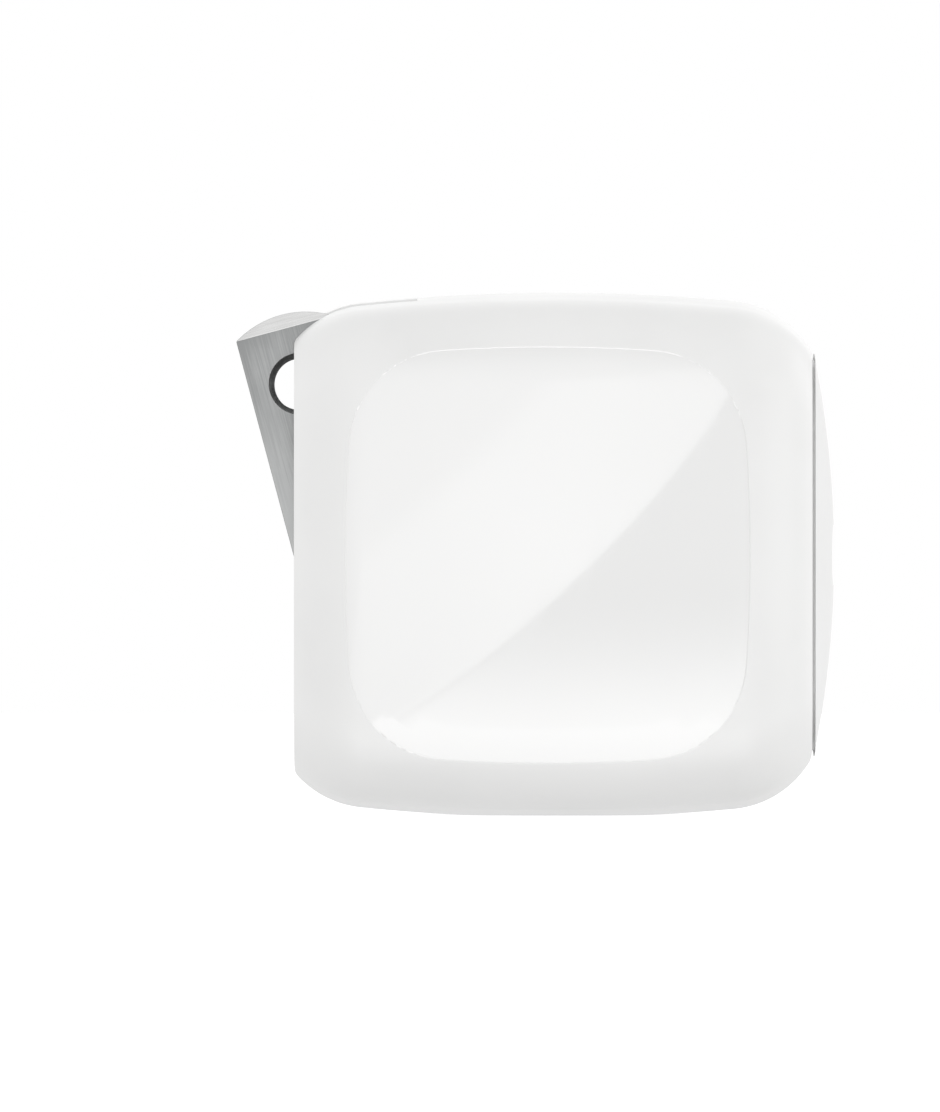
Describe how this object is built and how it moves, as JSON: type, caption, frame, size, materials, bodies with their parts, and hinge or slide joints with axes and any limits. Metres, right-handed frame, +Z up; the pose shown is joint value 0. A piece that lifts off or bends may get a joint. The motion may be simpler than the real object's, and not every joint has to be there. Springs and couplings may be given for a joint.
{
  "type": "usb wall charger",
  "caption": "Cube-shaped wall charger with rounded edges, a domed front cap with one oval USB port, and two flat mains blades that fold together into slots in its back.",
  "frame": {"origin": "on the wall face, midway between the blades, on the centre line that they have when unfolded", "axes": "+X from the wall face to the USB port, +Y across the case, +Z up, the way the blades fold"},
  "size_m": [0.0378, 0.0332, 0.033],
  "materials": {
    "case_plastic": "moulded, satin frame and polished side panels",
    "cap_plastic": "gloss",
    "rotor_plastic": "satin",
    "blade_metal": "nickel plated, grained along the blade",
    "retainer_plastic": "matt",
    "steel": "satin",
    "contact_bronze": "satin",
    "board": "satin solder mask",
    "port_steel": "satin nickel",
    "port_plastic": "matt",
    "port_gold": "gold plated",
    "ferrite": "matt",
    "bobbin_plastic": "matt",
    "copper_wire": "enamelled",
    "yellow_tape": "satin",
    "can_sleeve": "gloss shrink sleeve",
    "can_aluminium": "satin",
    "film_capacitor_case": "satin",
    "ceramic_blue": "gloss dip coating",
    "chip_black": "matt",
    "chip_tan": "satin",
    "spreader_aluminium": "satin",
    "pad_silicone": "matt",
    "sheet_film": "satin film"
  },
  "bodies": {
    "case": {"housing": "case_plastic", "front_cap": "cap_plastic", "hinge_retainer": "retainer_plastic", "retainer_screws": "steel", "detent_spring": "steel", "contact_spring_left": "contact_bronze", "contact_spring_right": "contact_bronze", "main_pcb": "board", "output_pcb": "board", "usb_shell": "port_steel", "usb_tongue": "port_plastic", "usb_contacts": "port_gold", "transformer_core_lower": "ferrite", "transformer_core_upper": "ferrite", "transformer_bobbin": "bobbin_plastic", "transformer_winding": "copper_wire", "transformer_tape": "yellow_tape", "transformer_pins": "steel", "bulk_capacitor_1": "can_sleeve", "bulk_capacitor_2": "can_sleeve", "output_capacitor": "can_aluminium", "choke_core": "ferrite", "choke_windings": "copper_wire", "x_capacitor": "film_capacitor_case", "y_capacitor": "ceramic_blue", "fuse": "bobbin_plastic", "bridge_rectifier": "chip_black", "power_switch": "chip_black", "sync_rectifier": "chip_black", "optocoupler": "chip_black", "pd_controller": "chip_black", "smd_passives": "chip_tan", "heat_spreader": "spreader_aluminium", "thermal_pad": "pad_silicone", "insulation_sheet": "sheet_film"},
    "blades": {"prong_rotor": "rotor_plastic", "blade_left": "blade_metal", "blade_right": "blade_metal"}
  },
  "joints": [
    {"name": "prong_fold", "type": "hinge", "parent": "case", "child": "blades", "pos_m": [0.0033, 0, -0.00086], "axis": [0, 1, 0], "range_deg": [-75, 15]}
  ]
}
